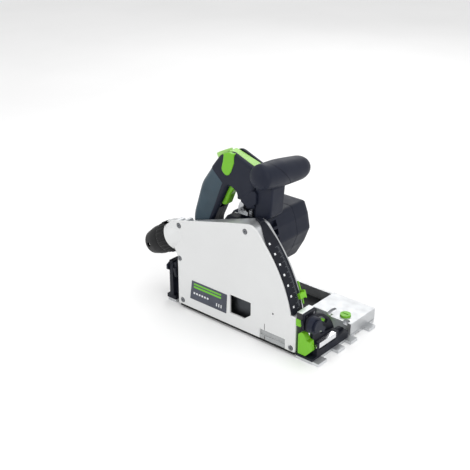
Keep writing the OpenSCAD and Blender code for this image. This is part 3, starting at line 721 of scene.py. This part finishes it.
def dust_port():
    """A ring with grip ribs and a hose sleeve with a soft outlet lip."""
    def ribs(radius, height, angle):
        if radius < 24 or not 16 < height < 37:
            return 0
        fade = min(1, (height - 16) / 3, (37 - height) / 3)
        return fade * 1.5 * max(0, math.cos(24 * angle)) ** 0.6

    heights = [14.3, 15.2, 16, 17.5, 19, 24, 30, 34, 35.5, 37, 38.2]
    outer = [(25.2, 14.3)] + [(26.0, h) for h in heights[1:-1]] + [(25.2, 38.2)]
    profile = outer + [(21.6, 38.2), (21.6, 14.3)]
    ring = turned("hose_ring", profile, DUST_AT, DUST_AXIS, sides=288, shape=ribs)
    place(ring, "dust_port", black, ["dust_ring"])
    outline = [(21.4, 24), (21.4, 37.6), (23.6, 38.6), (24.6, 41), (24.9, 46), (24.9, 54), (24.0, 60),
               (22.6, 66), (21.3, 72), (20.6, 75.2), (19.6, 76.1), (18.4, 75.8), (17.6, 74.6), (17.5, 60),
               (17.5, 44), (18, 24)]
    sleeve = turned("hose_sleeve", outline, DUST_AT, DUST_AXIS, sides=96)
    slots = []
    across = Vector((0, 1, 0))
    for way in (-1, 1):
        centre = DUST_AT + DUST_AXIS * 66 + across * way * 22
        cutter = turned("cut", [(0.01, -7), (4.2, -7), (4.2, 7), (0.01, 7)], centre, across, sides=24)
        slots.append(cutter)
    combine(sleeve, slots)
    place(sleeve, "dust_port", black, ["dust_outlet"], bevel=0.4)


dust_port()


# ---- Motor ----

MOTOR_Y = (40, 112, 154)
motor_shape = [(-58, 186, 10), (4, 186, 8), (13, 164, 8), (18, 138, 10), (8, 112, 6), (-9, 82, 8),
               (-34, 77.5, 12), (-60, 90, 10), (-68, 112, 8), (-68, 172, 10)]


def motor():
    """Housing with its cooling vents, and the end cap with bevelled, rounded end."""
    shell, split, end = MOTOR_Y
    body = side_body("motor_body", motor_shape, shell, split - 0.5, round0=1.5, round1=0.8)
    vents = [block("cut", (4, 46, 112 + 14 * i), (27, 66, 122 + 14 * i)) for i in range(5)]
    combine(body, vents)
    place(body, "unit", slate, ["motor_housing"], bevel=0.5)
    shape = anticlockwise(motor_shape)
    steps = [(split + 0.1, 1.2), (split + 0.8, 0.5), (split + 3, 0.2), (end - 13, 0.4), (end - 8, 1.1),
             (end - 4.5, 2.6), (end - 2, 4.6), (end - 0.6, 6.6), (end, 9)]
    cap = rings("motor_cap", [[row(p.x, y, p.y) for p in drawn_in(shape, gap)] for y, gap in steps])
    slots = [block("cut", (-52, end - 5, 146 + 5 * i), (-12, end + 1, 148.2 + 5 * i)) for i in range(5)]
    wells = [side_body("cut", arc((x, z), 4.2, 0, 345, 23), end - 3.6, end + 1)
             for x, z in ((-56, 172), (0, 172), (-49, 95.5))]
    combine(cap, slots + wells)
    place(cap, "unit", slate, ["motor_end_cap"], bevel=0.4)


motor()


# ---- Rear handle ----

HANDLE_Y = 43
HALF_WIDTH = 17
CHANNEL = 9
handle_shape = [
    (-139, 120, 8), (-138, 162, 60), (-119, 222, 60), (-98, 252, 20), (-78, 278, 14), (-52, 289, 14),
    (-6, 271.5, 2), (-6, 186, 1), (-42, 186, 1), (-42, 224, 10), (-60, 231, 6), (-80, 190, 20),
    (-94, 160, 24), (-96, 140, 10), (-80, 132, 6), (-68, 132, 0), (-68, 100, 0), (-104, 98, 12)]
grip_area = [(-154, 134), (-103, 134), (-101, 160), (-88, 190), (-71, 233), (-97, 256), (-150, 262)]
GRIP_GAP = 0.25


def handle():
    """Two shells that meet on the middle plane, with a rubber grip let in flush."""
    near, far = HANDLE_Y - HALF_WIDTH, HANDLE_Y + HALF_WIDTH

    def hollow():
        return block("cut", (-97, HANDLE_Y - CHANNEL, 184), (-48, HANDLE_Y + CHANNEL, 244))

    def lever_seat():
        return block("cut", (-66, HANDLE_Y - CHANNEL, 265.5), (-7, HANDLE_Y + CHANNEL, 300))

    def rubber_zone(gap):
        return side_body("cut", drawn_in(anticlockwise(grip_area), gap), near - 5, far + 5)

    right = side_body("handle_shell_right", handle_shape, near, HANDLE_Y - 0.12, 6, 0.4, 7)
    below_stop = [(-50, 187.5), (-6.6, 187.5), (-6.6, 206), (-18, 203), (-32, 214), (-50, 214)]
    recess = side_body("cut", below_stop, near - 2, HANDLE_Y - 5)
    combine(right, [rubber_zone(0), hollow(), lever_seat(), recess])
    place(right, "unit", slate, ["handle_right"], bevel=0.5)
    left = side_body("handle_shell_left", handle_shape, HANDLE_Y + 0.12, far, 0.4, 6, 7)
    combine(left, [rubber_zone(0), hollow(), lever_seat()])
    place(left, "unit", slate, ["handle_left"], bevel=0.5)
    grip = side_body("rubber_grip", handle_shape, near, far, 9, 9, 8)
    combine(grip, [rubber_zone(GRIP_GAP)], "INTERSECT")
    combine(grip, [hollow()])
    place(grip, "unit", rubber, ["handle_grip"], bevel=0.6)


def stop_block():
    """The boxy stop on the near side of the neck, with the steel lock linkage in the recess below it."""
    low = box_mm("handle_right")[0]
    shape = [(-34, 213, 3), (-14, 203.5, 3), (-0.3, 215, 3), (-0.3, 237, 4), (-13, 233, 3)]
    body = side_body("stop_block", shape, low.y + 0.05, HANDLE_Y - 4, round0=1.6)
    place(body, "unit", slate, bevel=0.4)
    near = HANDLE_Y - HALF_WIDTH
    plate = [(-40, 188, 1), (-20, 188, 1), (-20, 194, 2), (-30, 199, 2), (-28, 207, 3), (-36, 210, 3),
             (-40, 200, 2)]
    link = side_body("lock_link", plate, near + 3, near + 5.5, round0=0.4)
    place(link, "unit", steel)
    for k in range(5):
        ring = turned("lock_spring_%d" % k, [(2.2, -0.5), (3.3, -0.5), (3.3, 0.5), (2.2, 0.5)],
                      Vector((-15.5, near + 6, 189.5 + 2.2 * k)), Vector((0.05, 0, 1)).normalized(), sides=24)
        place(ring, "unit", steel)


def trigger():
    shape = [(-87, 214, 4), (-86, 198, 6), (-79, 189, 5), (-70, 192, 6), (-62, 212, 10), (-52, 226, 4),
             (-54, 240, 4), (-74, 240, 4)]
    body = side_body("trigger_body", shape, HANDLE_Y - 8.5, HANDLE_Y + 8.5, round0=3.4, round1=3.4)
    place(body, "trigger", green, ["trigger"])


def lock_button():
    """The green start lock on the side of the handle, which the thumb or finger presses."""
    low, high = box_mm("start_lock")
    shape = [(-73, 256, 8), (-61, 244, 8), (-52, 256, 4), (-46, 272, 3), (-46, 287.2, 1.5),
             (-57, 287.6, 3), (-67, 283.4, 1.5), (-69, 270, 6)]
    body = side_body("lock_button", shape, low.y, low.y + 3.3, round0=1.5)
    top = [(-69, 281.7, 0.5), (-46, 281.7, 0.5), (-46, 287.2, 1.5), (-57, 287.6, 3), (-67, 283.4, 1.5)]
    wrap = side_body("lock_wrap", top, low.y + 0.4, high.y, round0=0.4, round1=0.8)
    combine(body, [wrap], "UNION")
    place(body, "start_lock", green, ["start_lock"])


def change_lever():
    low, high = box_mm("change_lever")
    shape = [(-64, 280.4, 2), (-64, 287.4, 2), (-58, 287.4, 3), (-8.5, 273, 2), (-8.5, 268.6, 2)]
    body = side_body("lever_bar", shape, low.y, high.y, round0=1.5, round1=1.5)
    place(body, "change_lever", lime, ["change_lever"])


handle()
stop_block()
trigger()
lock_button()
change_lever()


# ---- Front handle ----

GRIP_START = Vector((18, 3, 269.5))
GRIP_LENGTH = 129
GRIP_TILT = math.radians(6.5)
GRIP_AXIS = Vector((0, math.cos(GRIP_TILT), -math.sin(GRIP_TILT)))
GRIP_UP = Vector((0, math.sin(GRIP_TILT), math.cos(GRIP_TILT)))


def grip_radius(along):
    """The front grip is thickest near the blade side and closes in a round nose at each end."""
    t = along / GRIP_LENGTH
    belly = 22.3 - 2.5 * max(0, 1 - along / 48) - 8.0 * max(0, t - 0.35) ** 1.5
    near = min(1, along / 13)
    far = min(1, (GRIP_LENGTH - along) / 27)
    return belly * math.sqrt(max(0, 1 - (1 - near) ** 2.3)) * math.sqrt(max(0, 1 - (1 - far) ** 2.1))


def grip_part(name, start, end, shrink=0.0):
    """A length of the grip: a closed skin of rings, which may lie a little below the surface."""
    count = 44
    places = [start + (end - start) * (1 - math.cos(math.pi * k / count)) / 2 for k in range(count + 1)]
    places[0] = max(places[0], 0.05)
    places[-1] = min(places[-1], GRIP_LENGTH - 0.05)
    loops = []
    for along in places:
        reach = grip_radius(along) - shrink
        spot = GRIP_START + GRIP_AXIS * along
        loop = []
        for a in (2 * math.pi * i / 72 for i in range(72)):
            out = spot + Vector((1, 0, 0)) * math.cos(a) * reach + GRIP_UP * math.sin(a) * reach
            loop.append(row(*out))
        loops.append(loop)
    return rings(name, loops)


def parting_cut(gap, beyond):
    """Everything on one side of the oblique plane where the grip's two mouldings meet."""
    far = 200 if beyond else -60
    slant = [(27 + gap, 292), (78 + gap, 236), (far, 236 - 40), (far, 330)]
    return rings("cut", [[row(x, y, z) for y, z in slant] for x in (-30, 60)])


def front_handle():
    near = grip_part("front_grip_near", 0, GRIP_LENGTH)
    combine(near, [parting_cut(-0.35, True)])
    place(near, "unit", slate, ["front_handle_neck"], bevel=0.5)
    far = grip_part("front_grip_far", 0, GRIP_LENGTH)
    combine(far, [parting_cut(0.35, False)])
    place(far, "unit", slate, ["front_handle_end"], bevel=0.5)
    core = grip_part("front_grip_core", 4, GRIP_LENGTH - 8, shrink=2.0)
    place(core, "unit", slate_dark)
    post_shape = [(-5.8, 186, 0.5), (12, 186, 1), (26, 198, 4), (30, 250, 6), (-2, 250, 2), (-5.8, 240, 2)]
    post = side_body("handle_post", post_shape, 29.3, 62, round0=3, round1=3)
    place(post, "unit", slate)


front_handle()


# ---- CAD nodes kept as they are, with finishes and softened edges ----

FINISHES = {
    "base_plate": (alloy, 0.7), "tray_liner": (black, 0.3), "slide_pads": (pad, 0),
    "front_bracket": (slate_dark, 0.6), "front_bar": (bright_bar, 0.5), "rear_bracket": (slate_dark, 0.6),
    "bracket_screws": (screw_steel, 0.2), "front_knob": (slate, 1.0), "rear_knob": (slate, 1.0),
    "jaw_dial_front": (green, 0.5), "jaw_dial_rear": (green, 0.5), "undercut_lever": (green, 0.6),
    "front_latch": (green, 0.8), "guard_housing": (guard_alloy, 0.4), "cover_screws": (screw_steel, 0.2),
    "front_segment": (slate_dark, 0.5), "rear_segment": (slate_dark, 0.5), "segment_screws": (screw_steel, 0),
    "index_button": (green, 0.4), "view_window": (window, 0.3), "pivot_pin": (steel, 0.3),
    "plunge_spring": (steel, 0), "depth_stop": (green, 0.6), "gear_case": (slate_dark, 0.6),
    "bearing_plate": (alloy, 0.3), "spindle_bearings": (steel, 0), "motor_bearings": (steel, 0),
    "motor_screws": (screw_steel, 0.2), "stator": (copper, 0), "electronics_module": (black, 0.4),
    "handle_screws": (screw_steel, 0.2), "switch_module": (black, 0.4), "power_inlet": (black, 0.3),
    "inlet_collar": (lime, 0.6), "speed_dial": (green, 0.4), "riving_knife": (steel, 0.2),
    "saw_blade": (blade_steel, 0), "arbor_shaft": (steel, 0), "spindle_gear": (steel, 0),
    "inner_flange": (steel, 0.2), "outer_flange": (steel, 0.3), "arbor_screw": (black, 0.3),
    "rotor_shaft": (steel, 0), "rotor_core": (screw_steel, 0), "cooling_fan": (black, 0),
}


def finish_node(name, material, bevel):
    node = frame["nodes"][name]
    node.data.materials.clear()
    node.data.materials.append(material)
    if bevel:
        soften(node, bevel)


for node_name, (finish, edge) in FINISHES.items():
    finish_node(node_name, finish, edge)
window_line()


# ---- Studio ----

def floor():
    n = Nodes("floor")
    cloud = n.noise(3, 3)
    pale = n.mix(n.span(cloud, 0, 1), srgb(246, 246, 246), srgb(249, 249, 249))
    n.link(pale, n.shader.inputs["Base Color"])
    n.link(n.span(cloud, 0.6, 0.7), n.shader.inputs["Roughness"])
    half = 6
    corners = [(-half, -half, -1e-4), (half, -half, -1e-4), (half, half, -1e-4), (-half, half, -1e-4)]
    ground = new_object("floor", corners, [(0, 1, 2, 3)])
    ground.data.materials.append(n.material)


def soft_light(name, power, size, offset, colour=(1, 1, 1)):
    """A square soft box at an offset from the saw, facing it."""
    data = bpy.data.lights.new(name, "AREA")
    data.energy = power
    data.size = size
    data.color = colour
    lamp = bpy.data.objects.new(name, data)
    lamp.location = middle + Vector(offset)
    lamp.rotation_euler = Vector(offset).to_track_quat("Z", "Y").to_euler()
    bpy.context.scene.collection.objects.link(lamp)


floor()
soft_light("overhead", 10, 1.6, (0.1, 0.2, 1.7))
soft_light("right_front", 7, 1.2, (1.5, -0.5, 0.9))
soft_light("left_front", 5, 1.2, (-0.9, -1.6, 0.8))
soft_light("back", 5, 1.0, (-0.8, 1.6, 1.0))

world = bpy.data.worlds.new("studio")
world.use_nodes = True
world.node_tree.nodes["Background"].inputs["Color"].default_value = (1, 1, 1, 1)
world.node_tree.nodes["Background"].inputs["Strength"].default_value = 0.8
bpy.context.scene.world = world
bpy.context.scene.view_settings.view_transform = "Standard"
